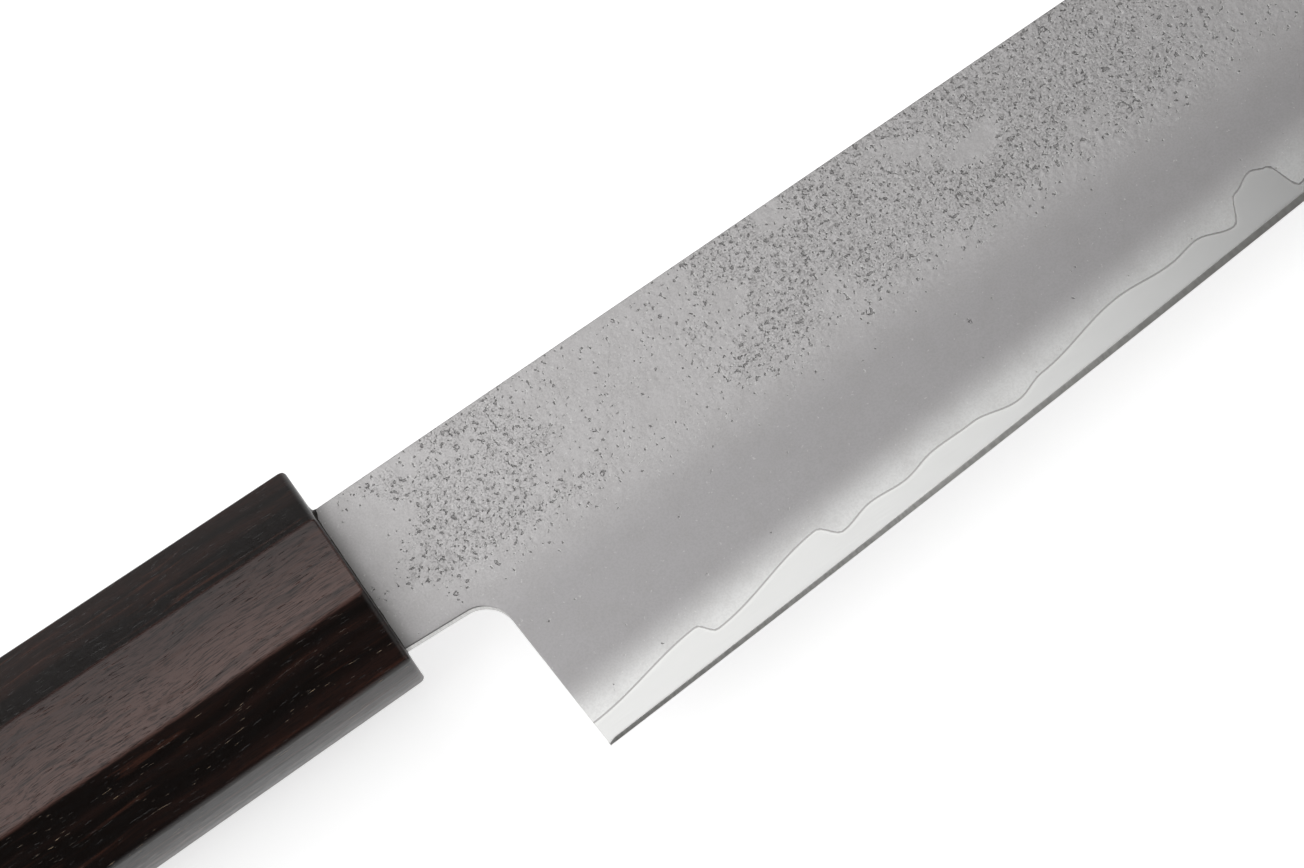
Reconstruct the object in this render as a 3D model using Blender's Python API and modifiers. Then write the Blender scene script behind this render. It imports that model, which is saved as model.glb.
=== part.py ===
"""A sujihiki: a long, narrow slicing knife with a laminated blade and a one-piece octagonal handle.

The knife lies on its left side. +X runs from the butt to the tip, +Y from the edge to
the spine, and +Z out of the right-hand face. The origin is under the middle of the knife.
Sizes are in metres, and MM turns millimetres into metres.
"""

import math

import bmesh
import bpy
from mathutils import Vector

MM = 0.001

# Blade outline: places along the knife start at the handle's front face, and heights
# across it start at the handle's axis
BLADE_LENGTH = 240 * MM
BLADE_HEIGHT = 36 * MM
SPINE_ABOVE_AXIS = 7.5 * MM
NECK_HEIGHT = 16.75 * MM
NECK_LENGTH = 10 * MM
NECK_FALL = 0.5 * MM
CHOIL_RADIUS = 3.4 * MM
HEEL_LEAN = 1.2 * MM
EDGE_LIFT = 12.3 * MM
EDGE_BOW = 3.2 * MM
BELLY_LENGTH = 80 * MM
SPINE_FALL_LENGTH = 100 * MM
TIP_BELOW_SPINE = 4.5 * MM
TIP_HEIGHT = 0.4 * MM
BELLY_POWER = 3.5
SPINE_FALL_POWER = 2.2

# Blade thickness: the spine thins to the tip, and each face is ground in a shallow bow
# from the spine down to the small bevel of the cutting edge
SPINE_THICKNESS = 2.0 * MM
TIP_THICKNESS = 0.6 * MM
SHOULDER_THICKNESS = 0.34 * MM
BEVEL_HEIGHT = 0.75 * MM
BEVEL_START = 1.0 * MM
EDGE_THICKNESS = 0.02 * MM
THINNING_POWER = 2.0
GRIND_POWER = 1.7

# Lamination: the grinding bares the hard core along a wavy line just above the edge. Each
# pair is a dip or a crest of that line: how far it lies past the heel, and how far above
# the edge. Past the last pair the line runs back through them and then on again.
LINE_FOLDS = (
    (0 * MM, 2.8 * MM),
    (12.4 * MM, 4.2 * MM),
    (15.0 * MM, 2.8 * MM),
    (26.6 * MM, 4.6 * MM),
    (30.8 * MM, 2.8 * MM),
    (34.0 * MM, 3.3 * MM),
    (38.0 * MM, 2.9 * MM),
    (42.0 * MM, 3.5 * MM),
    (46.5 * MM, 3.3 * MM),
    (51.6 * MM, 2.2 * MM),
    (55.0 * MM, 2.9 * MM),
    (65.0 * MM, 4.1 * MM),
    (71.5 * MM, 3.4 * MM),
    (74.5 * MM, 3.7 * MM),
    (77.5 * MM, 3.2 * MM),
    (83.0 * MM, 5.5 * MM),
    (90.0 * MM, 3.3 * MM),
)
LEFT_LINE_SHIFT = 58 * MM
CLADDING_END_THICKNESS = 0.015 * MM
WELD_LINE = 0.01 * MM

# Tang: the neck keeps its height a little way into the handle, then steps in and tapers
TANG_LENGTH = 95 * MM
SHOULDER_DEPTH = 8 * MM
SHOULDER_STEP = 1.5 * MM
TANG_END_HEIGHT = 6 * MM

# Handle: an upright octagon that grows from its front face to its butt
HANDLE_LENGTH = 138 * MM
FRONT_HEIGHT = 22.9 * MM
FRONT_WIDTH = 19.75 * MM
FRONT_SIDE_FLAT = 8.6 * MM
FRONT_TOP_FLAT = 10.1 * MM
BUTT_HEIGHT = 26.5 * MM
BUTT_WIDTH = 23.0 * MM
BUTT_SIDE_FLAT = 9.4 * MM
BUTT_TOP_FLAT = 11.6 * MM
END_ROUNDING = 0.9 * MM
FACET_EASING = 0.25 * MM

# Joint of tang and handle: glue fills the slot, and a dark bead closes its mouth
FIT_GAP = 0.25 * MM
GLUE_THICKNESS = 0.5 * MM
SEAL_DEPTH = 2 * MM
SEAL_PROUD = 0.3 * MM

# How finely the curved stretches are drawn
STATION_STEP = 2 * MM
TIP_STATION_STEP = 1 * MM
TIP_STRETCH = 20 * MM
FACE_STEPS = 5
ARC_STEPS = 10
CUTTER_MARGIN = 3 * MM
SAME_POINT = 0.001 * MM

# Places that follow from the sizes above
HEEL_X = NECK_LENGTH + HEEL_LEAN
TIP_X = HEEL_X + BLADE_LENGTH
HEEL_EDGE_Y = SPINE_ABOVE_AXIS - BLADE_HEIGHT
NECK_BOTTOM_Y = SPINE_ABOVE_AXIS - NECK_HEIGHT
TANG_AXIS_Y = (SPINE_ABOVE_AXIS + NECK_BOTTOM_Y) / 2
SLOT_ALLOWANCE = FIT_GAP + GLUE_THICKNESS + FIT_GAP
MIDDLE_X = (TIP_X - HANDLE_LENGTH) / 2
MIDDLE_Y = (BUTT_HEIGHT / 2 + HEEL_EDGE_Y) / 2
MIDPLANE_Z = BUTT_WIDTH / 2


def clear_scene():
    for old in list(bpy.data.objects):
        bpy.data.objects.remove(old, do_unlink=True)


def new_collection(name):
    collection = bpy.data.collections.new(name)
    bpy.context.scene.collection.children.link(collection)
    return collection


def linear(channel):
    """One sRGB channel, from 0 to 1, as the linear value that a shader takes."""
    if channel <= 0.04045:
        return channel / 12.92
    return ((channel + 0.055) / 1.055) ** 2.4


def new_material(name, red, green, blue, roughness, metallic):
    """A plain material; its colour is given as sRGB values from 0 to 255."""
    material = bpy.data.materials.new(name)
    material.use_nodes = True
    shader = material.node_tree.nodes["Principled BSDF"]
    colour = [linear(channel / 255) for channel in (red, green, blue)]
    shader.inputs["Base Color"].default_value = (*colour, 1)
    shader.inputs["Roughness"].default_value = roughness
    shader.inputs["Metallic"].default_value = metallic
    return material


def spaced(start, stop, step):
    """Places from start to stop, evenly spaced and no further apart than step."""
    count = max(1, math.ceil((stop - start) / step))
    return [start + (stop - start) * i / count for i in range(count + 1)]


# Blade outline


def edge_y(x):
    """Height of the cutting edge: a nearly straight run, then a belly that climbs to the tip."""
    along = (x - HEEL_X) / (BLADE_LENGTH - BELLY_LENGTH)
    run = HEEL_EDGE_Y + EDGE_LIFT * along - EDGE_BOW * along * (1 - along)
    belly = (x - (TIP_X - BELLY_LENGTH)) / BELLY_LENGTH
    if belly <= 0:
        return run
    end = BLADE_LENGTH / (BLADE_LENGTH - BELLY_LENGTH)
    run_at_tip = HEEL_EDGE_Y + EDGE_LIFT * end - EDGE_BOW * end * (1 - end)
    tip_edge = SPINE_ABOVE_AXIS - TIP_BELOW_SPINE - TIP_HEIGHT
    return run + (tip_edge - run_at_tip) * belly**BELLY_POWER


def spine_y(x):
    """Height of the spine: straight, with a gentle fall towards the tip."""
    fall = max(0, (x - (TIP_X - SPINE_FALL_LENGTH)) / SPINE_FALL_LENGTH)
    return SPINE_ABOVE_AXIS - TIP_BELOW_SPINE * fall**SPINE_FALL_POWER


def bevel_height(x):
    """The edge bevel starts from nothing at the heel and rounds up to its full height."""
    grown = min(1, max(0, (x - HEEL_X) / BEVEL_START))
    return max(BEVEL_HEIGHT * math.sqrt(1 - (1 - grown) ** 2), EDGE_THICKNESS)


# Blade thickness, as a distance from the mid-plane


def spine_half(x):
    along = max(0, x) / TIP_X
    return (SPINE_THICKNESS - (SPINE_THICKNESS - TIP_THICKNESS) * along**THINNING_POWER) / 2


def face_half(x, y):
    """Half the thickness of the ground blade at a height y."""
    top = spine_y(x)
    depth = (top - y) / (top - edge_y(x) - BEVEL_HEIGHT)
    shoulder = SHOULDER_THICKNESS / 2
    return shoulder + (spine_half(x) - shoulder) * (1 - max(0, depth) ** GRIND_POWER)


def height_of_face(x, half):
    """The height y at which the ground blade is this thick: face_half turned round."""
    shoulder = SHOULDER_THICKNESS / 2
    depth = (1 - (half - shoulder) / (spine_half(x) - shoulder)) ** (1 / GRIND_POWER)
    top = spine_y(x)
    return top - depth * (top - edge_y(x) - BEVEL_HEIGHT)


def line_y(x, shift):
    """Height of the lamination line, smooth between its dips and crests."""
    length = LINE_FOLDS[-1][0]
    past_heel = max(0, x - HEEL_X) + shift
    place = length - abs(past_heel % (2 * length) - length)
    above_edge = LINE_FOLDS[0][1]
    for (start, low), (stop, high) in zip(LINE_FOLDS, LINE_FOLDS[1:]):
        if start <= place <= stop:
            ease = (1 - math.cos(math.pi * (place - start) / (stop - start))) / 2
            above_edge = low + (high - low) * ease
    return min(edge_y(x) + above_edge, spine_y(x) - 2 * EDGE_THICKNESS)


# Sections across the blade: rings of (height, distance from the mid-plane)


def core_side(x, shift):
    """One side of the hard core, from the spine down to the edge."""
    shoulder_y = edge_y(x) + bevel_height(x)
    line = max(line_y(x, shift), shoulder_y + 2 * EDGE_THICKNESS)
    middle = (line + shoulder_y) / 2
    core_half = face_half(x, line)
    blunt = SHOULDER_THICKNESS * (1 - bevel_height(x) / BEVEL_HEIGHT)
    return [
        (spine_y(x), core_half),
        (line, core_half),
        (middle, face_half(x, middle)),
        (shoulder_y, face_half(x, shoulder_y)),
        (edge_y(x), (EDGE_THICKNESS + blunt) / 2),
    ]


def core_section(x):
    right = core_side(x, 0)
    left = core_side(x, LEFT_LINE_SHIFT)
    return right + [(y, -half) for y, half in reversed(left)]


def cladding_section(x, shift):
    """The soft steel on one side, from the weld line at the spine round to the wavy line."""
    inner = core_side(x, shift)[0][1] + WELD_LINE
    top = spine_y(x)
    bottom = height_of_face(x, inner)
    ring = [(top, inner), (top, spine_half(x))]
    for step in range(1, FACE_STEPS):
        y = top + (bottom - top) * step / FACE_STEPS
        ring.append((y, face_half(x, y)))
    ring.append((bottom, inner))
    return ring


def stations(stop):
    """Places along the blade where a section is drawn."""
    behind = -TANG_LENGTH - CUTTER_MARGIN
    places = [behind, 0, HEEL_X, HEEL_X + 0.15 * BEVEL_START, HEEL_X + 0.5 * BEVEL_START]
    tip_start = TIP_X - TIP_STRETCH
    places += spaced(HEEL_X + BEVEL_START, tip_start, STATION_STEP)
    places += spaced(tip_start, stop, TIP_STATION_STEP)[1:]
    return places


def cladding_stop(shift):
    """Where the cladding has thinned away at the spine, a little behind the tip."""
    low, high = TIP_X - TIP_STRETCH, TIP_X
    while high - low > SAME_POINT:
        middle = (low + high) / 2
        inner = core_side(middle, shift)[0][1] + WELD_LINE
        if spine_half(middle) - inner > CLADDING_END_THICKNESS:
            low = middle
        else:
            high = middle
    return low


# Shapes


def finish(bm, name, collection, material=None):
    """Turns a bmesh into an object of the knife, with its faces pointing outwards."""
    bmesh.ops.recalc_face_normals(bm, faces=bm.faces)
    mesh = bpy.data.meshes.new(name)
    bm.to_mesh(mesh)
    bm.free()
    piece = bpy.data.objects.new(name, mesh)
    collection.objects.link(piece)
    if material:
        mesh.materials.append(material)
    return piece


def loft(name, places, section, collection, material):
    """Joins the blade's sections at these places into one closed solid."""
    bm = bmesh.new()
    rings = [[bm.verts.new((x, y, z)) for y, z in section(x)] for x in places]
    for ring, next_ring in zip(rings, rings[1:]):
        for i in range(len(ring)):
            j = (i + 1) % len(ring)
            bm.faces.new((ring[i], ring[j], next_ring[j], next_ring[i]))
    bm.faces.new(rings[0])
    bm.faces.new(rings[-1])
    return finish(bm, name, collection, material)


def plate(name, outline, half_thickness, collection, material=None):
    """A flat plate with this outline in X and Y, as thick to each side of the mid-plane."""
    curve = bpy.data.curves.new(name, "CURVE")
    curve.dimensions = "2D"
    curve.fill_mode = "BOTH"
    curve.extrude = half_thickness
    spline = curve.splines.new("POLY")
    spline.points.add(len(outline) - 1)
    for point, (x, y) in zip(spline.points, outline):
        point.co = (x, y, 0, 1)
    spline.use_cyclic_u = True
    drawn = bpy.data.objects.new(name + "_outline", curve)
    collection.objects.link(drawn)
    graph = bpy.context.evaluated_depsgraph_get()
    mesh = bpy.data.meshes.new_from_object(drawn.evaluated_get(graph))
    bpy.data.objects.remove(drawn)
    bm = bmesh.new()
    bm.from_mesh(mesh)
    bpy.data.meshes.remove(mesh)
    bmesh.ops.remove_doubles(bm, verts=bm.verts, dist=SAME_POINT)
    return finish(bm, name, collection, material)


def cut(piece, cutter, operation):
    """Keeps what the cutter holds of a piece, or takes it away."""
    modifier = piece.modifiers.new(cutter.name, "BOOLEAN")
    modifier.operation = operation
    modifier.solver = "EXACT"
    modifier.object = cutter
    cutter.hide_render = True
    cutter.display_type = "WIRE"


def rounded_corner(before, corner, after, radius):
    """The corner of an outline, replaced by points on an arc that touches both its sides."""
    before, corner, after = Vector(before), Vector(corner), Vector(after)
    back = (before - corner).normalized()
    ahead = (after - corner).normalized()
    half_angle = back.angle(ahead) / 2
    centre = corner + (back + ahead).normalized() * radius / math.sin(half_angle)
    reach = radius / math.tan(half_angle)
    start = corner + back * reach - centre
    stop = corner + ahead * reach - centre
    turn = start.angle_signed(stop)
    arc = []
    for step in range(ARC_STEPS + 1):
        angle = -turn * step / ARC_STEPS
        cosine, sine = math.cos(angle), math.sin(angle)
        across = (start.x * cosine - start.y * sine, start.x * sine + start.y * cosine)
        arc.append((centre.x + across[0], centre.y + across[1]))
    return arc


# Outlines


def tang_outline(grow, front):
    """The tang and the neck behind front, made larger all round by grow."""
    top = SPINE_ABOVE_AXIS + grow
    bottom = NECK_BOTTOM_Y - grow
    shoulder = -SHOULDER_DEPTH - grow
    end = -TANG_LENGTH - grow
    half_end = TANG_END_HEIGHT / 2 + grow
    return [
        (front, top),
        (shoulder, top),
        (shoulder, top - SHOULDER_STEP),
        (end, TANG_AXIS_Y + half_end),
        (end, TANG_AXIS_Y - half_end),
        (shoulder, bottom + SHOULDER_STEP),
        (shoulder, bottom),
        (front, bottom),
    ]


def blade_outline():
    """Tang, neck, choil and heel. Past the heel it stays clear of the blade, spine and edge."""
    above = SPINE_ABOVE_AXIS + CUTTER_MARGIN
    below = HEEL_EDGE_Y - CUTTER_MARGIN
    lean = HEEL_LEAN * CUTTER_MARGIN / (NECK_BOTTOM_Y - NECK_FALL - HEEL_EDGE_Y)
    under_heel = (HEEL_X + lean, below)
    ahead = TIP_X + CUTTER_MARGIN
    tang = tang_outline(0, 0)
    mouth = tang[-1]
    corner = (NECK_LENGTH, NECK_BOTTOM_Y - NECK_FALL)
    choil = rounded_corner(mouth, corner, under_heel, CHOIL_RADIUS)
    shoulder = tang[1][0]
    return [(ahead, above), (shoulder, above)] + tang[2:] + choil + [under_heel, (ahead, below)]


def octagon(height, width, side_flat, top_flat):
    """The corners of one end of the handle, anticlockwise from the one above +Y."""
    return [
        (height / 2, top_flat / 2),
        (side_flat / 2, width / 2),
        (-side_flat / 2, width / 2),
        (-height / 2, top_flat / 2),
        (-height / 2, -top_flat / 2),
        (-side_flat / 2, -width / 2),
        (side_flat / 2, -width / 2),
        (height / 2, -top_flat / 2),
    ]


# Pieces of the knife


def make_blade(parts, cutters):
    """Three steels welded face to face and ground as one: a hard core between two soft sides."""
    core_steel = new_material("hard_core_steel", 214, 214, 212, 0.3, 1)
    soft_steel = new_material("soft_cladding_steel", 172, 171, 170, 0.5, 1)
    outline = plate("blade_cutter", blade_outline(), SPINE_THICKNESS, cutters)
    core = loft("core_steel", stations(TIP_X), core_section, parts, core_steel)
    right = loft(
        "right_cladding",
        stations(cladding_stop(0)),
        lambda x: cladding_section(x, 0),
        parts,
        soft_steel,
    )
    left = loft(
        "left_cladding",
        stations(cladding_stop(LEFT_LINE_SHIFT)),
        lambda x: [(y, -z) for y, z in cladding_section(x, LEFT_LINE_SHIFT)],
        parts,
        soft_steel,
    )
    for layer in (core, right, left):
        layer.data.shade_smooth()
        layer.data.set_sharp_from_angle(angle=math.radians(20))
        cut(layer, outline, "INTERSECT")
    return [core, right, left]


def make_handle(parts, cutters):
    """A tapering octagon with its facets eased, slotted from the front for the tang."""
    ebony = new_material("ebony", 58, 44, 40, 0.45, 0)
    bm = bmesh.new()
    bmesh.ops.create_cone(bm, cap_ends=True, segments=8, radius1=1, radius2=1, depth=2)
    front = octagon(FRONT_HEIGHT, FRONT_WIDTH, FRONT_SIDE_FLAT, FRONT_TOP_FLAT)
    butt = octagon(BUTT_HEIGHT, BUTT_WIDTH, BUTT_SIDE_FLAT, BUTT_TOP_FLAT)
    for vertex in bm.verts:
        corner = round(math.atan2(vertex.co.y, vertex.co.x) / math.radians(45)) % 8
        at_front = vertex.co.z > 0
        y, z = front[corner] if at_front else butt[corner]
        vertex.co = (0 if at_front else -HANDLE_LENGTH, y, z)
    weight = bm.edges.layers.float.new("bevel_weight_edge")
    for edge in bm.edges:
        along = abs(edge.verts[0].co.x - edge.verts[1].co.x) > HANDLE_LENGTH / 2
        edge[weight] = FACET_EASING / END_ROUNDING if along else 1
    handle = finish(bm, "handle", parts, ebony)
    easing = handle.modifiers.new("easing", "BEVEL")
    easing.limit_method = "WEIGHT"
    easing.width = END_ROUNDING
    easing.segments = 3
    slot = plate(
        "slot_cutter",
        tang_outline(SLOT_ALLOWANCE, CUTTER_MARGIN),
        SPINE_THICKNESS / 2 + SLOT_ALLOWANCE,
        cutters,
    )
    cut(handle, slot, "DIFFERENCE")
    return [handle]


def make_joint(parts, cutters):
    """The glue round the tang, and the dark bead that closes the slot's mouth."""
    glue = new_material("epoxy_glue", 96, 84, 60, 0.4, 0)
    black_glue = new_material("black_epoxy", 24, 22, 21, 0.35, 0)
    room = plate(
        "tang_room_cutter",
        tang_outline(FIT_GAP, CUTTER_MARGIN),
        SPINE_THICKNESS / 2 + FIT_GAP,
        cutters,
    )
    grow = FIT_GAP + GLUE_THICKNESS
    half_thickness = SPINE_THICKNESS / 2 + grow
    sleeve_outline = tang_outline(grow, -SEAL_DEPTH - FIT_GAP)
    sleeve = plate("tang_adhesive", sleeve_outline, half_thickness, parts, glue)
    top = SPINE_ABOVE_AXIS + grow
    bottom = NECK_BOTTOM_Y - grow
    seal_outline = [
        (SEAL_PROUD, top),
        (-SEAL_DEPTH, top),
        (-SEAL_DEPTH, bottom),
        (SEAL_PROUD, bottom),
    ]
    seal = plate("mouth_seal", seal_outline, half_thickness, parts, black_glue)
    for piece in (sleeve, seal):
        cut(piece, room, "DIFFERENCE")
    return [sleeve, seal]


def main():
    clear_scene()
    parts = new_collection("sujihiki")
    cutters = new_collection("cutters")
    pieces = make_blade(parts, cutters)
    pieces += make_handle(parts, cutters)
    pieces += make_joint(parts, cutters)
    handle_front = bpy.data.objects.new("handle_front", None)
    parts.objects.link(handle_front)
    handle_front.location = (-MIDDLE_X, -MIDDLE_Y, MIDPLANE_Z)
    for piece in pieces + list(cutters.objects):
        piece.parent = handle_front


main()
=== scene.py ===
# %% [markdown]
# A sujihiki: a long slicing knife
# The real knife is a bar of hard steel welded between two softer sides, ground to a slim
# wedge, and glued by its tang into an octagon of dark wood. This lesson dresses the knife's
# CAD model. Each visible piece is drawn again, finer, on the place that the CAD gives it,
# and each finish is mixed from nodes at the size that it has on the real thing.

# %% Load the frame
import math

import bmesh
import bpy
from mathutils import Matrix, Vector, noise


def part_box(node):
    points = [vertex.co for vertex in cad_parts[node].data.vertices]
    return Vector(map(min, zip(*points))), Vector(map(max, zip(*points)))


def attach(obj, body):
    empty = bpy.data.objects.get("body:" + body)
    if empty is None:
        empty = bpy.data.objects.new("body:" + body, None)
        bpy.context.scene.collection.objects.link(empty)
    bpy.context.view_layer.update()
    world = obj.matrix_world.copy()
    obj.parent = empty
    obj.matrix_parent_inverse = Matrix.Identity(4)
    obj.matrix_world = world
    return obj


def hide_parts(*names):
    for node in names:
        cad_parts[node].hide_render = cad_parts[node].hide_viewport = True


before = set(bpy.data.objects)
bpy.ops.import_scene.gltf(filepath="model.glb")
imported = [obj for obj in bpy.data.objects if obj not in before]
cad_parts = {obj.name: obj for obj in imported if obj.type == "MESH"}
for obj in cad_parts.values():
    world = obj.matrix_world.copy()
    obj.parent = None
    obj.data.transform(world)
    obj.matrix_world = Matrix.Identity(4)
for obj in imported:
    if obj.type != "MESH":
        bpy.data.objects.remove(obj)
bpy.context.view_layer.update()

# %% [markdown]
# Where the knife lies
# The frame is in metres, but a knife is easier to think of in millimetres, measured from
# the place where the blade leaves the handle. So every shape is drawn in a bench frame: x
# runs from the handle's front face towards the tip, y from the handle's axis towards the
# spine, and z out of the right-hand face. One matrix then carries it into the frame.

# %% Bench frame
SPINE_ABOVE_AXIS = 7.5
core_low, core_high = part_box("core_steel")
front_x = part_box("handle")[1].x
axis_y = core_high.y - SPINE_ABOVE_AXIS / 1000
midplane_z = (core_low.z + core_high.z) / 2
to_frame = Matrix.Translation((front_x, axis_y, midplane_z)) @ Matrix.Scale(0.001, 4)
to_bench = to_frame.inverted()
print("handle's front face at, mm:", [round(v * 1000, 3) for v in to_frame.translation])

# %% [markdown]
# The camera
# The photograph is a close view from above, with the camera leaning towards the edge and
# rolled so that the spine climbs across the frame. A long lens keeps the blade's lines
# nearly parallel. The angles are set here as a photographer would say them: how far the
# camera leans towards the edge and the butt, and how far it is rolled.

# %% Camera
LENS = 180
CAMERA_DISTANCE = 636.2
CAMERA_TARGET = Vector((31.69, -5.12, 0))
LEAN_TO_BUTT = math.radians(2.54)
LEAN_TO_EDGE = math.radians(14.75)
CAMERA_ROLL = math.radians(34.28)

back = Vector((-math.sin(LEAN_TO_BUTT), -math.sin(LEAN_TO_EDGE), 0))
back.z = math.sqrt(1 - back.length_squared)
level = (Vector((1, 0, 0)) - back * back.x).normalized()
right = level * math.cos(CAMERA_ROLL) - back.cross(level) * math.sin(CAMERA_ROLL)
up = back.cross(right)
camera = bpy.data.objects.new("camera", bpy.data.cameras.new("camera"))
bpy.context.scene.collection.objects.link(camera)
camera.data.lens = LENS
camera.data.clip_start = 0.01
camera.matrix_world = Matrix.Translation(to_frame @ (CAMERA_TARGET + back * CAMERA_DISTANCE)) @ (
    Matrix((right, up, back)).transposed().to_4x4()
)
bpy.context.scene.camera = camera
print("camera at, mm:", [round(v * 1000) for v in camera.matrix_world.translation])

# %% [markdown]
# The blade's outline
# A sujihiki's edge is nearly straight, with a belly that climbs to a tip just under the
# line of the spine. Two short formulas describe it, and they are the CAD's own, so the
# finer blade stays where the CAD's is.

# %% Outline
BLADE_LENGTH = 240
BLADE_HEIGHT = 36
NECK_HEIGHT = 16.75
NECK_LENGTH = 10
NECK_FALL = 0.5
CHOIL_RADIUS = 3.4
HEEL_LEAN = 1.2
EDGE_LIFT = 12.3
EDGE_BOW = 3.2
BELLY_LENGTH = 80
SPINE_FALL_LENGTH = 100
TIP_BELOW_SPINE = 4.5
TIP_HEIGHT = 0.4
BELLY_POWER = 3.5
SPINE_FALL_POWER = 2.2
HEEL_X = NECK_LENGTH + HEEL_LEAN
TIP_X = HEEL_X + BLADE_LENGTH
HEEL_EDGE_Y = SPINE_ABOVE_AXIS - BLADE_HEIGHT
NECK_BOTTOM_Y = SPINE_ABOVE_AXIS - NECK_HEIGHT


def edge_y(x):
    along = (x - HEEL_X) / (BLADE_LENGTH - BELLY_LENGTH)
    run = HEEL_EDGE_Y + EDGE_LIFT * along - EDGE_BOW * along * (1 - along)
    belly = (x - (TIP_X - BELLY_LENGTH)) / BELLY_LENGTH
    if belly <= 0:
        return run
    end = BLADE_LENGTH / (BLADE_LENGTH - BELLY_LENGTH)
    run_at_tip = HEEL_EDGE_Y + EDGE_LIFT * end - EDGE_BOW * end * (1 - end)
    tip_edge = SPINE_ABOVE_AXIS - TIP_BELOW_SPINE - TIP_HEIGHT
    return run + (tip_edge - run_at_tip) * belly**BELLY_POWER


def spine_y(x):
    fall = max(0, (x - (TIP_X - SPINE_FALL_LENGTH)) / SPINE_FALL_LENGTH)
    return SPINE_ABOVE_AXIS - TIP_BELOW_SPINE * fall**SPINE_FALL_POWER


print("edge at heel and tip, mm:", round(edge_y(HEEL_X), 2), round(edge_y(TIP_X), 2))

# %% [markdown]
# The blade's thickness
# Each face is ground in a shallow bow, thick at the spine and thin above the edge, and the
# spine itself thins towards the tip. Last comes the small bevel that cuts. It begins as a
# rounded start at the heel, where the stone has run out, and widens a little along the edge.

# %% Thickness
SPINE_THICKNESS = 2.0
TIP_THICKNESS = 0.6
SHOULDER_THICKNESS = 0.34
BEVEL_HEIGHT = 0.75
BEVEL_START = 1.0
HEEL_BEVEL_SHARE = 0.54
BEVEL_WIDENING_LENGTH = 95
EDGE_THICKNESS = 0.02
THINNING_POWER = 2.0
GRIND_POWER = 1.7


def spine_half(x):
    along = max(0, x) / TIP_X
    return (SPINE_THICKNESS - (SPINE_THICKNESS - TIP_THICKNESS) * along**THINNING_POWER) / 2


def face_half(x, y):
    top = spine_y(x)
    depth = (top - y) / (top - edge_y(x) - BEVEL_HEIGHT)
    shoulder = SHOULDER_THICKNESS / 2
    return shoulder + (spine_half(x) - shoulder) * (1 - max(0, depth) ** GRIND_POWER)


def height_of_face(x, half):
    shoulder = SHOULDER_THICKNESS / 2
    depth = (1 - (half - shoulder) / (spine_half(x) - shoulder)) ** (1 / GRIND_POWER)
    return spine_y(x) - depth * (spine_y(x) - edge_y(x) - BEVEL_HEIGHT)


def bevel_start(x):
    """Grows from 0 to 1 in a quarter round over the first millimetre of the edge."""
    grown = min(1, max(0, (x - HEEL_X) / BEVEL_START))
    return math.sqrt(1 - (1 - grown) ** 2)


def bevel_height(x):
    widened = min(1, max(0, (x - HEEL_X) / BEVEL_WIDENING_LENGTH))
    height = BEVEL_HEIGHT * (HEEL_BEVEL_SHARE + (1 - HEEL_BEVEL_SHARE) * widened)
    return max(height * bevel_start(x), EDGE_THICKNESS)


print("half thickness at spine, middle, shoulder:", [round(face_half(50, y), 2) for y in (7.5, -8, -24)])

# %% [markdown]
# The lamination line
# Grinding bares the core along a wavy line just above the edge. It wanders because the
# layers were hammered, so no two waves are alike: the line is a list of dips and crests,
# eased from one to the next, as mm past the heel and mm above the edge. Past its end the
# list is read backwards, and the left face starts it at another place. The sides stand off
# the core by a line too thin to see, so that no two meshes share a face.

# %% Lamination line
LINE_FOLDS = (
    (0, 2.8),
    (13.2, 4.15),
    (14.9, 2.65),
    (28.1, 4.45),
    (30.3, 2.7),
    (34, 3.3),
    (38, 2.9),
    (42, 3.5),
    (46.5, 3.3),
    (51.6, 2.2),
    (55, 2.9),
    (65, 4.1),
    (71.5, 3.4),
    (74.5, 3.7),
    (78.6, 2.4),
    (80.4, 4.9),
    (82.8, 5.7),
    (84.6, 5.0),
    (86.2, 1.6),
    (90, 3.3),
)
LEFT_LINE_SHIFT = 58
WELD_LINE = 0.002
CLADDING_END_THICKNESS = 0.015


def line_y(x, shift):
    length = LINE_FOLDS[-1][0]
    past_heel = max(0, x - HEEL_X) + shift
    place = length - abs(past_heel % (2 * length) - length)
    above_edge = LINE_FOLDS[0][1]
    for (start, low), (stop, high) in zip(LINE_FOLDS, LINE_FOLDS[1:]):
        if start <= place <= stop:
            ease = (1 - math.cos(math.pi * (place - start) / (stop - start))) / 2
            above_edge = low + (high - low) * ease
    return min(edge_y(x) + above_edge, spine_y(x) - 2 * EDGE_THICKNESS)


def weld_half(x, shift):
    """Half the thickness of the core under the cladding."""
    shoulder_y = edge_y(x) + bevel_height(x)
    return face_half(x, max(line_y(x, shift), shoulder_y + 2 * EDGE_THICKNESS))


print("core thickness under the cladding near the heel:", round(2 * weld_half(HEEL_X, 0), 2))

# %% [markdown]
# One way to wrap a surface
# Every layer of the blade is a skin stretched over columns that stand across the blade,
# from a foot on its outline to a head on the spine. A grid already has the right number
# of rows and columns, so it is made first, rolled up, and each of its points is carried to
# its place. Rolled this way no cut is needed at the choil, and the mesh stays all quads.

# %% Wrapping
SAME_POINT = 0.0005
SHARP_ANGLE = math.radians(25)


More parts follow.
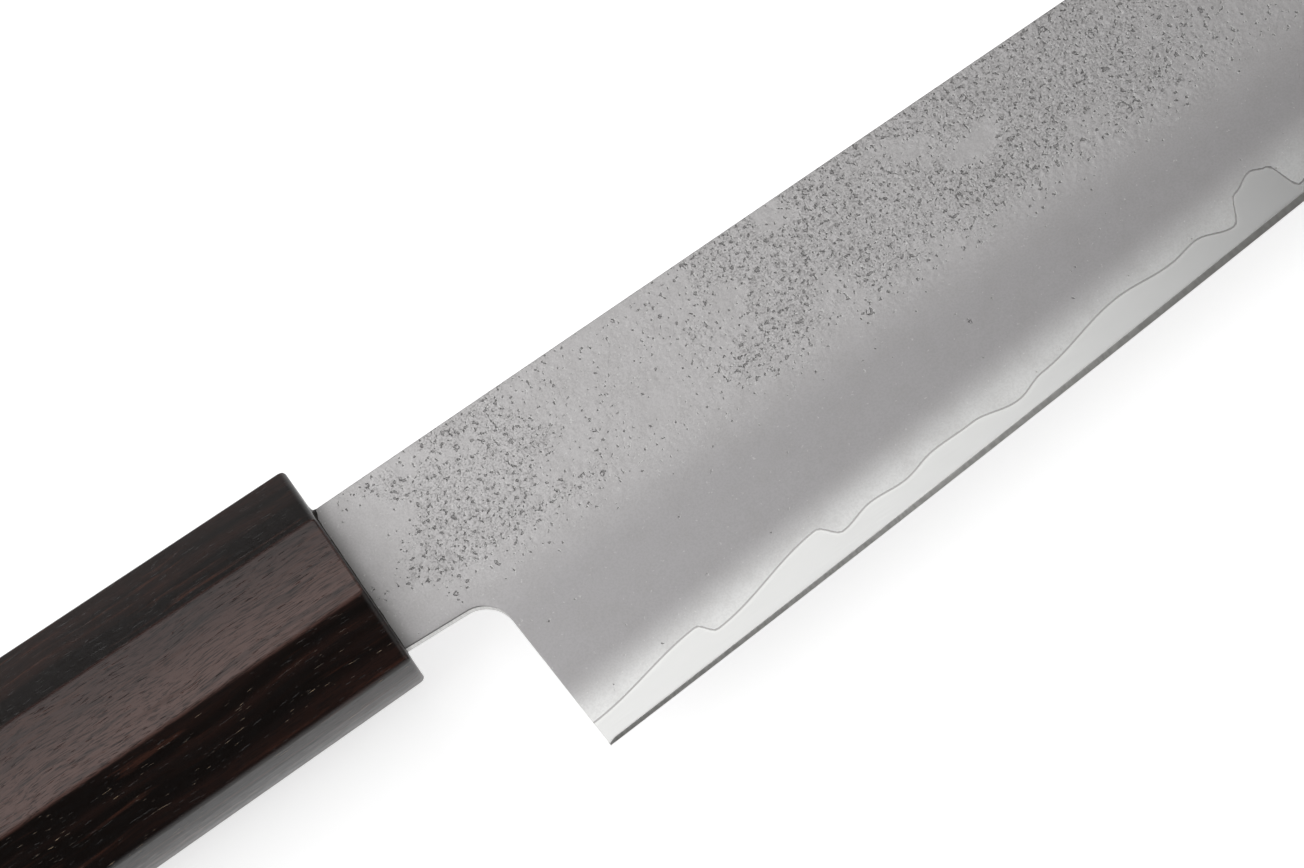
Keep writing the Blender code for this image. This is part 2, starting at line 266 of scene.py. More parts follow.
def keep(bm, name, node, materials):
    """Carries a finished bmesh into the frame as a piece that stands for a CAD node."""
    bmesh.ops.recalc_face_normals(bm, faces=bm.faces)
    bmesh.ops.transform(bm, matrix=to_frame, verts=bm.verts)
    mesh = bpy.data.meshes.new(name)
    bm.to_mesh(mesh)
    bm.free()
    for material in materials:
        mesh.materials.append(material)
    mesh.shade_smooth()
    piece = bpy.data.objects.new(name, mesh)
    bpy.context.scene.collection.objects.link(piece)
    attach(piece, "root")
    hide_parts(node)
    print(name, "has", len(mesh.polygons), "faces")
    return piece


def wrap(rings):
    """Rolls a grid up along these closed rings of points and closes its two ends."""
    around = len(rings[0])
    last = len(rings) - 1
    bm = bmesh.new()
    bmesh.ops.create_grid(bm, x_segments=last, y_segments=around, size=0.5)
    for vertex in bm.verts:
        ring = round((vertex.co.x + 0.5) * last)
        point = round((vertex.co.y + 0.5) * around) % around
        vertex.co = rings[ring][point]
    bmesh.ops.remove_doubles(bm, verts=bm.verts, dist=SAME_POINT)
    open_edges = [edge for edge in bm.edges if edge.is_boundary]
    bmesh.ops.holes_fill(bm, edges=open_edges, sides=0)
    return bm


def steps(start, stop, count):
    return [start + (stop - start) * i / count for i in range(count + 1)]


def spaced(start, stop, longest):
    return steps(start, stop, max(1, math.ceil(abs(stop - start) / longest)))


print("60 mm in steps of 0.4 mm:", len(spaced(0, 60, 0.4)), "places")

# %% [markdown]
# The outline's columns
# Behind the heel the foot of a column runs along the tang, the underside of the neck, the
# round choil and the straight heel. The heads fan out over the choil, so that the columns
# never cross. Past the heel each layer gives its own feet: the wavy line for the soft
# sides, and the cutting edge for the core.

# %% Columns
TANG_LENGTH = 95
SHOULDER_DEPTH = 8
SHOULDER_STEP = 1.5
SHOULDER_SLOPE = 0.3
TANG_END_HEIGHT = 6
TANG_AXIS_Y = (SPINE_ABOVE_AXIS + NECK_BOTTOM_Y) / 2
TANG_STEP = 6
NECK_STEP = 1
COLUMN_STEP = 0.4
ARC_STEPS = 14
FAN_STOP = 16
FAN_FADE = 20


def choil():
    """The rounded corner between the neck's underside and the heel, as points on its arc."""
    corner = Vector((NECK_LENGTH, NECK_BOTTOM_Y - NECK_FALL))
    rear = (Vector((0, NECK_BOTTOM_Y)) - corner).normalized()
    down = (Vector((HEEL_X, HEEL_EDGE_Y)) - corner).normalized()
    half_angle = rear.angle(down) / 2
    centre = corner + (rear + down).normalized() * CHOIL_RADIUS / math.sin(half_angle)
    reach = CHOIL_RADIUS / math.tan(half_angle)
    start = corner + rear * reach - centre
    turn = start.angle_signed(corner + down * reach - centre)
    turns = [Matrix.Rotation(-turn * i / ARC_STEPS, 2) for i in range(ARC_STEPS + 1)]
    return [centre + rotation @ start for rotation in turns]


def rear_columns(heel_stop):
    """Pairs of head and foot for the tang, the neck and the heel down to heel_stop."""
    shoulder = -SHOULDER_DEPTH - SHOULDER_SLOPE
    low = NECK_BOTTOM_Y + SHOULDER_STEP
    high = SPINE_ABOVE_AXIS - SHOULDER_STEP
    pairs = []
    for x in spaced(-TANG_LENGTH, shoulder, TANG_STEP):
        share = (x + TANG_LENGTH) / (shoulder + TANG_LENGTH)
        top = TANG_AXIS_Y + TANG_END_HEIGHT / 2
        bottom = TANG_AXIS_Y - TANG_END_HEIGHT / 2
        head = Vector((x, top + (high - top) * share))
        pairs.append((head, Vector((x, bottom + (low - bottom) * share))))
    for x in spaced(-SHOULDER_DEPTH, -NECK_STEP, NECK_STEP):
        pairs.append((Vector((x, SPINE_ABOVE_AXIS)), Vector((x, NECK_BOTTOM_Y))))
    arc = choil()
    for x in spaced(0, arc[0].x, COLUMN_STEP)[:-1]:
        foot_y = NECK_BOTTOM_Y - NECK_FALL * x / NECK_LENGTH
        pairs.append((Vector((x, SPINE_ABOVE_AXIS)), Vector((x, foot_y))))
    heel = spaced(0, 1, COLUMN_STEP / (heel_stop - arc[-1]).length)[1:]
    feet = arc + [arc[-1].lerp(heel_stop, share) for share in heel]
    for i, foot in enumerate(feet):
        head_x = arc[0].x + (FAN_STOP - arc[0].x) * i / (len(feet) - 1)
        pairs.append((Vector((head_x, SPINE_ABOVE_AXIS)), foot))
    return pairs


def front_columns(feet, heel_stop):
    """Pairs of head and foot past the heel. The fan of the choil fades out over them."""
    pairs = []
    for foot in feet:
        faded = max(0, 1 - (foot.x - heel_stop.x) / FAN_FADE)
        head_x = foot.x + (FAN_STOP - heel_stop.x) * faded**2
        pairs.append((Vector((head_x, spine_y(head_x))), foot))
    return pairs


heel_corner = Vector((HEEL_X, HEEL_EDGE_Y))
print("columns behind the heel corner:", len(rear_columns(heel_corner)))

# %% [markdown]
# Soft steel sides
# Under the choil and along the spine the real corners are eased, so that they don't bite
# the hand. The easing is drawn as a quarter round in the rows next to the outline. Along
# the wavy line there is no easing, because the side is ground away to nothing there.

# %% Cladding shape
SPINE_EASING = 0.1
CHOIL_EASING = 0.16
EASING_ROWS = (0, 0.08, 0.3, 0.62, 1)
FACE_ROWS = 22


def dropped(distance, radius):
    """How far a quarter round lies under the corner's own face, this far in from it."""
    if distance >= radius:
        return 0
    return radius - math.sqrt(radius**2 - (radius - distance) ** 2)


def cladding_ring(head, foot, shift):
    """One column of a side: down its ground face, and back up along the weld."""
    span = (foot - head).length
    rows = [SPINE_EASING * share for share in EASING_ROWS[:-1]]
    rows += steps(SPINE_EASING, span - CHOIL_EASING, FACE_ROWS)[:-1]
    rows += [span - CHOIL_EASING * share for share in reversed(EASING_ROWS)]
    ring = []
    for row in rows:
        x, y = head.lerp(foot, row / span)
        face = face_half(x, y)
        body = max(0, face - weld_half(x, shift) - WELD_LINE)
        at_spine = dropped(row, min(SPINE_EASING, body / 2))
        at_foot = dropped(span - row, min(CHOIL_EASING, body / 2))
        ring.append(Vector((x, y, face - at_spine - at_foot)))
    for share in (1, 0.5, 0):
        x, y = head.lerp(foot, share)
        ring.append(Vector((x, y, weld_half(x, shift) + WELD_LINE)))
    return ring


def cladding_rings(shift):
    stop = cladding_stop(shift)
    start_y = line_y(HEEL_X, shift)
    start_x = HEEL_X - HEEL_LEAN * (start_y - HEEL_EDGE_Y) / (NECK_BOTTOM_Y - NECK_FALL - HEEL_EDGE_Y)
    feet = []
    for x in spaced(start_x, stop, COLUMN_STEP):
        feet.append(Vector((x, height_of_face(x, weld_half(x, shift) + WELD_LINE))))
    pairs = rear_columns(feet[0]) + front_columns(feet[1:], feet[0])
    return [cladding_ring(head, foot, shift) for head, foot in pairs]


def cladding_stop(shift):
    """Where the side has thinned away at the spine, a little behind the tip."""
    low, high = TIP_X - FAN_FADE, TIP_X
    while high - low > SAME_POINT:
        middle = (low + high) / 2
        if spine_half(middle) - weld_half(middle, shift) - WELD_LINE > CLADDING_END_THICKNESS:
            low = middle
        else:
            high = middle
    return low


right_rings = cladding_rings(0)
left_rings = cladding_rings(LEFT_LINE_SHIFT)
print("rings of the right side:", len(right_rings), "each of", len(right_rings[0]), "points")

# %% [markdown]
# Hard steel core
# The core is a flat plate between the sides until the grinding reaches it. From there down
# it follows the ground face, and its last half millimetre or so is the bevel that cuts.
# Taking the thinner of plate, face and bevel at each point gives all of that. One row of
# points runs along the wavy line, so that plate and face meet in a clean edge.

# %% Core shape
BEVEL_ROWS = 4
BARED_ROWS = 12
COVERED_ROWS = 12
LINE_GUARD = 0.03
START_STEP = 0.1


def core_half(x, y, shift):
    weld = weld_half(x, shift)
    ground = face_half(x, y)
    rise = (y - edge_y(x)) / bevel_height(x)
    if rise < 1:
        shoulder = face_half(x, edge_y(x) + bevel_height(x))
        blunt = SHOULDER_THICKNESS * (1 - bevel_start(x))
        foot = (EDGE_THICKNESS + blunt) / 2
        ground = foot + (shoulder - foot) * max(0, rise)
    return min(weld, ground)


def line_crossing(head, foot, shift):
    """How far up a column the wavy line crosses it, or 0 where it starts above the line."""
    low, high = 0, 1
    while high - low > SAME_POINT / BLADE_HEIGHT:
        middle = (low + high) / 2
        x, y = foot.lerp(head, middle)
        if y < line_y(x, shift):
            low = middle
        else:
            high = middle
    return low * (head - foot).length


def core_face(head, foot, shift):
    """The points of one column of the core on one face, from foot to head."""
    span = (head - foot).length
    rows = steps(0, min(bevel_height(foot.x), span / 2), BEVEL_ROWS)
    guard = min(LINE_GUARD, (span - rows[-1]) / 8)
    line = max(line_crossing(head, foot, shift), rows[-1] + 3 * guard)
    line = min(line, span - 3 * guard)
    rows += steps(rows[-1], line - guard, BARED_ROWS)[1:] + [line]
    rows += steps(line + guard, span, COVERED_ROWS)
    places = [foot.lerp(head, row / span) for row in rows]
    return [Vector((x, y, core_half(x, y, shift))) for x, y in places]


def core_ring(head, foot):
    """One column of the core, down its right face and up its left."""
    right = core_face(head, foot, 0)
    left = [Vector((p.x, p.y, -p.z)) for p in core_face(head, foot, LEFT_LINE_SHIFT)]
    return right[::-1] + left


edge_feet = [Vector((x, edge_y(x))) for x in spaced(HEEL_X, HEEL_X + BEVEL_START, START_STEP)]
edge_feet += [Vector((x, edge_y(x))) for x in spaced(edge_feet[-1].x, TIP_X, COLUMN_STEP)[1:]]
core_pairs = rear_columns(edge_feet[0]) + front_columns(edge_feet[1:], edge_feet[0])
core_rings = [core_ring(head, foot) for head, foot in core_pairs]
print("rings of the core:", len(core_rings), "each of", len(core_rings[0]), "points")

# %% [markdown]
# Adding nodes
# A material is a small net of nodes. One function adds any kind of node, gives it its
# settings, and sets or links its inputs, so a net reads from top to bottom. Where a whole
# node is given as an input, its own output is meant. Colours are written as the hex values
# that a picture shows, and turned to the linear values of light.

# %% Node helpers


def linear(hex_colour):
    """A colour such as #A8A7A7 as the linear values that a shader takes."""
    channels = [int(hex_colour[i : i + 2], 16) / 255 for i in (1, 3, 5)]
    bent = [c / 12.92 if c <= 0.04045 else ((c + 0.055) / 1.055) ** 2.4 for c in channels]
    return (*bent, 1)


def connect(material, node, name, value):
    """Sets or links one input, found by its number or by the name that the node shows."""
    if isinstance(name, str):
        name = next(i for i, s in enumerate(node.inputs) if s.enabled and s.name == name)
    if isinstance(value, bpy.types.Node):
        value = next(output for output in value.outputs if output.enabled)
    if isinstance(value, bpy.types.NodeSocket):
        material.node_tree.links.new(value, node.inputs[name])
    else:
        node.inputs[name].default_value = value


def add(material, kind, inputs=None, **settings):
    """Adds one node of any kind, with its settings and its inputs."""
    node = material.node_tree.nodes.new("ShaderNode" + kind)
    for name, value in settings.items():
        setattr(node, name, value)
    for name, value in (inputs or {}).items():
        connect(material, node, name, value)
    return node


print("mid grey #808080 is", round(linear("#808080")[0], 3), "in linear light")

# %% [markdown]
# Laying tones over each other
# Every finish here starts from one colour and has others laid over it, as a painter would:
# each where some value, such as a distance or a noise, passes softly from a start to a
# stop. So a finish is mostly a short table of such layers. A second helper places the
# patterns: it counts object coordinates in mm from the handle's front face.

# %% Layers and place
SMOOTH = {"interpolation_type": "SMOOTHSTEP"}


def new_material(name):
    material = bpy.data.materials.new(name)
    material.use_nodes = True
    return material


def place_in_mm(material):
    where = add(material, "TexCoord").outputs["Object"]
    offset = [-v * 1000 for v in to_frame.translation]
    return add(material, "Mapping", {"Vector": where, "Location": offset, "Scale": (1000,) * 3})


def layered(material, tone, layers):
    """Lays colours over a tone. A layer is value, start, stop, greatest share, colour."""
    for value, start, stop, most, colour in layers:
        span = {"Value": value, "From Min": start, "From Max": stop, "To Max": most}
        share = add(material, "MapRange", span, **SMOOTH)
        tone = add(
            material, "Mix", {"Factor": share, "A": tone, "B": linear(colour)}, data_type="RGBA"
        )
    return tone


def finish(material, inputs):
    """Gives the material's shader its inputs."""
    shader = material.node_tree.nodes["Principled BSDF"]
    for name, value in inputs.items():
        connect(material, shader, name, value)
    print(material.name, "has", len(material.node_tree.nodes), "nodes")
    return material


# %% [markdown]
# The pits
# Scale that came off in the forge left ragged pits, from 0.2 mm specks to craters of
# almost 1 mm. The specks are the peaks of a noise, which gives clusters and odd shapes at
# once. The craters are broken rings round scattered points, each of its own radius, and a
# few are filled. Both keep to loose patches within 18 mm of the spine, and leave the neck
# nearly clean. Spacings and places are in mm.

# %% Pits
PIT_PATCHES = ((1, 30), (36, 103), (118, 160), (176, 222))
PATCH_FADE = 8
STRAY_PITS = 0.4
CLEAN_NECK = 10
PITS_END = (18, 12)
DRIFT_SPACING = 7
DRIFT_REACH = 34
SPECK_SPACING = 0.46
CRATER_SPACING = 2.0
CRATER_WOBBLE = 0.35
CRATER_LEAST = 0.17
CRATER_SPREAD = 0.2
FILLED_ABOVE = 0.8
CROWDED_CHANCE = 0.6
STRAY_CHANCE = 0.03


def crowding(steel, place, below_spine):
    """Where pits crowd, from 0 to 1: patches along the blade, broken up by a slow noise."""
    drift = add(steel, "TexNoise", {"Vector": place, "Scale": 1 / DRIFT_SPACING, "Detail": 4})
    along = add(steel, "SeparateXYZ", {0: place}).outputs["X"]
    stray = add(steel, "Math", {0: drift, 1: 0.5}, operation="SUBTRACT")
    along = add(steel, "Math", {0: stray, 1: DRIFT_REACH, 2: along}, operation="MULTIPLY_ADD")
    patches = STRAY_PITS
    for start, stop in PIT_PATCHES:
        rise = {"Value": along, "From Min": start, "From Max": start + PATCH_FADE}
        rise = add(steel, "MapRange", rise)
        fall = {"Value": along, "From Min": stop, "From Max": stop - PATCH_FADE}
        fall = add(steel, "MapRange", fall)
        patch = add(steel, "Math", {0: rise, 1: fall}, operation="MULTIPLY")
        patches = add(steel, "Math", {0: patch, 1: patches}, operation="MAXIMUM")
    near = {"Value": below_spine, "From Min": PITS_END[0], "From Max": PITS_END[1]}
    near = add(steel, "MapRange", near, **SMOOTH)
    loose = add(steel, "MapRange", {"Value": drift, "From Min": 0.28, "From Max": 0.45}, **SMOOTH)
    neck = add(steel, "MapRange", {"Value": along, "From Min": 0, "From Max": CLEAN_NECK})
    crowd = add(steel, "Math", {0: patches, 1: near}, operation="MULTIPLY")
    crowd = add(steel, "Math", {0: crowd, 1: neck}, operation="MULTIPLY")
    crowd = add(steel, "Math", {0: crowd, 1: loose}, operation="MULTIPLY")
    return add(steel, "Math", {0: crowd, 1: 0.6}, operation="POWER")


def specks(steel, place, crowd):
    """How far a fine noise stands over a limit that falls where pits crowd."""
    peaks = add(steel, "TexNoise", {"Vector": place, "Scale": 1 / SPECK_SPACING, "Detail": 2})
    limit = add(steel, "MapRange", {"Value": crowd, "To Min": 0.75, "To Max": 0.605})
    return peaks, add(steel, "Math", {0: peaks, 1: limit}, operation="SUBTRACT")


def craters(steel, place, crowd, peaks):
    """Broken rings, and a few filled holes, round scattered points."""
    cells = add(steel, "TexVoronoi", {"Vector": place, "Scale": 1 / CRATER_SPACING})
    lot = add(steel, "SeparateXYZ", {0: cells.outputs["Color"]})
    wobble = {0: peaks, 1: CRATER_WOBBLE, 2: cells.outputs["Distance"]}
    wobble = add(steel, "Math", wobble, operation="MULTIPLY_ADD")
    radius = {0: lot.outputs["X"], 1: CRATER_SPREAD, 2: CRATER_LEAST}
    radius = add(steel, "Math", radius, operation="MULTIPLY_ADD")
    inside = add(steel, "Math", {0: radius, 1: wobble}, operation="SUBTRACT")
    off_ring = add(steel, "Math", {0: inside}, operation="ABSOLUTE")
    ring = add(steel, "MapRange", {"Value": off_ring, "From Min": 0.05, "From Max": 0.01}, **SMOOTH)
    broken = add(steel, "MapRange", {"Value": peaks, "From Min": 0.4, "From Max": 0.52}, **SMOOTH)
    ring = add(steel, "Math", {0: ring, 1: broken}, operation="MULTIPLY")
    hole = add(steel, "MapRange", {"Value": inside, "From Min": 0, "From Max": 0.05}, **SMOOTH)
    full = add(steel, "Math", {0: lot.outputs["Z"], 1: FILLED_ABOVE}, operation="GREATER_THAN")
    hole = add(steel, "Math", {0: hole, 1: full}, operation="MULTIPLY")
    shape = add(steel, "Math", {0: ring, 1: hole}, operation="MAXIMUM")
    chance = {0: crowd, 1: CROWDED_CHANCE, 2: STRAY_CHANCE}
    chance = add(steel, "Math", chance, operation="MULTIPLY_ADD")
    chosen = add(steel, "Math", {0: lot.outputs["Y"], 1: chance}, operation="LESS_THAN")
    return add(steel, "Math", {0: shape, 1: chosen}, operation="MULTIPLY")


print("patches of pits, mm along the blade:", PIT_PATCHES)

# %% [markdown]
# Pear-skin and haze on the soft steel
# The soft sides are low-carbon stainless steel. Near the spine the forged, etched skin is
# left on, matte and pitted. Below it the side is stoned to an even grey, and towards the
# wavy line it is polished with fine powder, which gives a pale haze. At the mouth of the
# handle it is painted darker, partly for a trace of glue and oxide, partly as painted shade
# and the dark reflection of the handle's front. Dark oxide stays in the pits, a pale rim
# round each is a painted highlight, and a bump turns one wall of each away from the lamp.
# The grain of the skin is drawn 0.2 mm apart, because the real one is too fine to show.

# %% Soft steel
MOTTLE_SPACING = 2.6
GRAIN_SPACING = 0.2
LUMP_SPACING = 0.6
FLECK_SPACING = 0.2
HAZE = (8.2, 2.8)


def soft_steel():
    steel = new_material("soft_stainless_pear_skin_and_haze")
    place = place_in_mm(steel)
    spine = add(steel, "Attribute", attribute_name="below_spine").outputs["Fac"]
    edge = add(steel, "Attribute", attribute_name="above_edge").outputs["Fac"]
    along = add(steel, "SeparateXYZ", {0: place}).outputs["X"]
    mottle = add(steel, "TexNoise", {"Vector": place, "Scale": 1 / MOTTLE_SPACING, "Detail": 2})
    grain = add(steel, "TexNoise", {"Vector": place, "Scale": 1 / GRAIN_SPACING, "Detail": 1})
    lumps = add(steel, "TexNoise", {"Vector": place, "Scale": 1 / LUMP_SPACING, "Detail": 2})
    flecks = add(steel, "TexNoise", {"Vector": place, "Scale": 1 / FLECK_SPACING, "Detail": 1})
    crowd = crowding(steel, place, spine)
    flecked = add(steel, "Math", {0: flecks, 1: crowd}, operation="MULTIPLY")
    peaks, over = specks(steel, place, crowd)
    speck = add(steel, "MapRange", {"Value": over, "From Min": -0.015, "From Max": 0.035}, **SMOOTH)
    crater = craters(steel, place, crowd, peaks)
    pits = add(steel, "Math", {0: speck, 1: crater}, operation="MAXIMUM")
    tone = layered(
        steel,
        linear("#C6C4C4"),
        (
            (spine, 13, 21, 1, "#B3B1B2"),
            (edge, *HAZE, 1, "#CFCFCE"),
            # Darker at the mouth: partly a trace of glue and oxide, partly painted shade and dark
            # reflection of the handle.
            (along, 1.7, -0.2, 0.5, "#55534F"),
            (mottle, 0.4, 0.65, 0.12, "#A3A09E"),
            (grain, 0.35, 0.7, 0.12, "#7E7C7B"),
            # Painted highlight: a pale rim round each speck.
            (over, -0.07, -0.01, 0.42, "#E2E2E0"),
            (flecked, 0.45, 0.7, 0.4, "#6B6868"),
            (pits, 0, 1, 0.46, "#545152"),
            (over, 0.03, 0.08, 0.4, "#969393"),
        ),
    )
    haze = {"Value": edge, "From Min": HAZE[0], "From Max": HAZE[1], "To Min": 0.5, "To Max": 0.32}
    haze = add(steel, "MapRange", haze, **SMOOTH)
    skin = add(steel, "Bump", {"Height": grain, "Strength": 0.15, "Distance": 0.00003})
    lumpy = add(steel, "Math", {0: lumps, 1: crowd}, operation="MULTIPLY")
    relief = add(steel, "Bump", {"Height": lumpy, "Distance": 0.00005, "Normal": skin})
    depth = add(steel, "MapRange", {"Value": over, "From Min": -0.03, "From Max": 0.08}, **SMOOTH)
    depth = add(steel, "Math", {0: depth, 1: crater}, operation="MAXIMUM")
    dents = add(steel, "Bump", {"Height": depth, "Distance": 0.00004, "Normal": relief}, invert=True)
    inputs = {"Base Color": tone, "Metallic": 1.0, "Roughness": haze, "Normal": dents}
    return finish(steel, inputs)


soft_stainless = soft_steel()

# %% [markdown]
# Polished core, stoned bevel and ground outline
# The hard core is a finer steel and takes a brighter polish. A thin strip along the wavy
# line is the weld itself, which shows as a soft grey thread with a paler band beside it.
# The cutting bevel is fresh from a coarser stone, so it is duller, and crossed by slanting
# scratches. They are drawn 0.3 mm apart, because the real ones are too fine to show. Its
# colour fades from bright near the heel to darker further out, a painted fade of the lamp's
# reflection. The spine, the choil and the heel are ground on a belt, with faint lines across
# them.

# %% Core and ground finishes
SCRATCH_SPACING = 0.3
SCRATCH_SLANT = math.radians(24)
SCRATCH_STRETCH = (1, 0.2, 1)
STROKE_SIZE = (4, 0.2, 0.2)
BELT_LINE_SIZE = (0.2, 0.2, 2.5)
# Where the painted reflection on the bevel fades out, in mm along the blade.
PAINTED_REFLECTION_FADE = (45, 100)


def hard_steel():
    steel = new_material("hard_stainless_polished")
    place = place_in_mm(steel)
    line = add(steel, "Attribute", attribute_name="above_line").outputs["Fac"]
    strokes = {"Vector": place, "Scale": [1 / mm for mm in STROKE_SIZE]}
    strokes = add(steel, "Mapping", strokes)
    polish = add(steel, "TexNoise", {"Vector": strokes, "Scale": 1, "Detail": 3})
    tone = layered(
        steel,
        linear("#C2C2C1"),
        ((line, -0.55, -0.15, 0.35, "#D2D2D0"), (line, -0.2, -0.06, 1, "#979695")),
    )
    gloss = {"Value": polish, "From Min": 0.3, "From Max": 0.7, "To Min": 0.22, "To Max": 0.25}
    return finish(
        steel, {"Base Color": tone, "Metallic": 1.0, "Roughness": add(steel, "MapRange", gloss)}
    )


def stoned_bevel():
    steel = new_material("hard_stainless_coarse_stone")
    place = place_in_mm(steel)
    slant = {"Vector": place, "Rotation": (0, 0, SCRATCH_SLANT), "Scale": SCRATCH_STRETCH}
    slanted = add(steel, "Mapping", slant)
    scratch = add(steel, "TexNoise", {"Vector": slanted, "Scale": 1 / SCRATCH_SPACING, "Detail": 2})
    along = add(steel, "SeparateXYZ", {0: place}).outputs["X"]
    tone = layered(
        steel,
        linear("#E4E3E0"),
        # Painted reflection: bright near the heel, darker further out.
        ((along, *PAINTED_REFLECTION_FADE, 0.9, "#A09F9C"), (scratch, 0.6, 0.36, 0.25, "#83827F")),
    )
    bump = add(steel, "Bump", {"Height": scratch, "Strength": 0.4, "Distance": 0.00003})
    return finish(steel, {"Base Color": tone, "Metallic": 1.0, "Roughness": 0.4, "Normal": bump})


def ground_outline():
    steel = new_material("stainless_belt_ground")
    place = place_in_mm(steel)
    across = {"Vector": place, "Scale": [1 / mm for mm in BELT_LINE_SIZE]}
    across = add(steel, "Mapping", across)
    belt = add(steel, "TexNoise", {"Vector": across, "Scale": 1, "Detail": 3})
    tone = layered(steel, linear("#BBBAB8"), ((belt, 0.3, 0.7, 1, "#CFCECC"),))
    bump = add(steel, "Bump", {"Height": belt, "Strength": 0.15, "Distance": 0.00002})
    return finish(steel, {"Base Color": tone, "Metallic": 1.0, "Roughness": 0.34, "Normal": bump})


hard_stainless = hard_steel()
coarse_stone = stoned_bevel()
belt_ground = ground_outline()

# %% [markdown]
# The three layers
# The skins are wrapped and given their finishes. Faces that look along the blade's plane
# are its ground outline, and faces of the core lower than the shoulder are the bevel. How
# far each point lies from spine, edge and wavy line is written on it, for the nodes to read.

# %% Blade
OUTLINE_FACING = 0.6
SLOPE_REACH = 0.1


def shift_at(point):
    return 0 if point.z > 0 else LEFT_LINE_SHIFT


def above_line(point):
    """Distance from the wavy line, measured square to it, and negative on the core's side."""
    shift = shift_at(point)
    slope = line_y(point.x + SLOPE_REACH, shift) - line_y(point.x - SLOPE_REACH, shift)
    slope /= 2 * SLOPE_REACH
    return (point.y - line_y(point.x, shift)) / math.hypot(1, slope)


def finish_layer(piece):
    """Writes the three distances on a layer's points and sorts its faces by finish."""
    mesh = piece.data
    bench = [to_bench @ vertex.co for vertex in mesh.vertices]
    spine = mesh.attributes.new("below_spine", "FLOAT", "POINT")
    edge = mesh.attributes.new("above_edge", "FLOAT", "POINT")
    line = mesh.attributes.new("above_line", "FLOAT", "POINT")
    spine.data.foreach_set("value", [spine_y(p.x) - p.y for p in bench])
    edge.data.foreach_set("value", [p.y - edge_y(p.x) for p in bench])
    line.data.foreach_set("value", [above_line(p) for p in bench])
    for face in mesh.polygons:
        middle = to_bench @ face.center
        if abs(face.normal.z) < OUTLINE_FACING:
            face.material_index = 1
        elif middle.y < edge_y(middle.x) + bevel_height(middle.x):
            face.material_index = len(mesh.materials) - 1
    mesh.set_sharp_from_angle(angle=SHARP_ANGLE)


core = keep(
    wrap(core_rings),
    "hard_core",
    "core_steel",
    [hard_stainless, belt_ground, coarse_stone],
)
finish_layer(core)
right_side = keep(
    wrap(right_rings),
    "soft_side_right",
    "right_cladding",
    [soft_stainless, belt_ground],
)
finish_layer(right_side)
mirrored = [[Vector((p.x, p.y, -p.z)) for p in ring] for ring in left_rings]
left_side = keep(
    wrap(mirrored),
    "soft_side_left",
    "left_cladding",
    [soft_stainless, belt_ground],
)
finish_layer(left_side)

# %% [markdown]
# Dark, open-pored wood
# The handle is ebony, planed into an octagon, sanded and oiled. Ebony is a brown-black
# with redder streaks along the grain. The right-hand flat, which faces the lamp above, is
# painted redder and paler in a layer that runs with the handle's taper: a painted sheen.
# The oiled surface is smooth enough to shine softly. Its pores are short dashes, dark where
# they are open; on the lower chamfer some are painted pale, as painted glints on their walls.
# The pattern is solid, as in a real block, and each layer is a noise stretched along the
# grain to the sizes given, in mm.

# %% Ebony
ZONE_SIZE = (80, 2.8, 2.8)
STREAK_SIZE = (26, 0.8, 0.8)
FIBRE_SIZE = (1.7, 0.11, 0.11)
PORE_SIZE = (2.1, 0.13, 0.13)
CLUSTER_SIZE = (7, 1.3, 1.3)
BENDS_PER_MM = 0.06
BEND_REACH = (0, 2, 2)
# The depth of the right-hand flat, where a painted sheen is laid, and its fall with the taper.
PAINTED_SHEEN_DEPTH = (9.55, 9.8)
PAINTED_SHEEN_FALL = 0.0118
PALER_Y = (4, -3)
GLINT_SIDE_Y = (-4.2, -5.5)


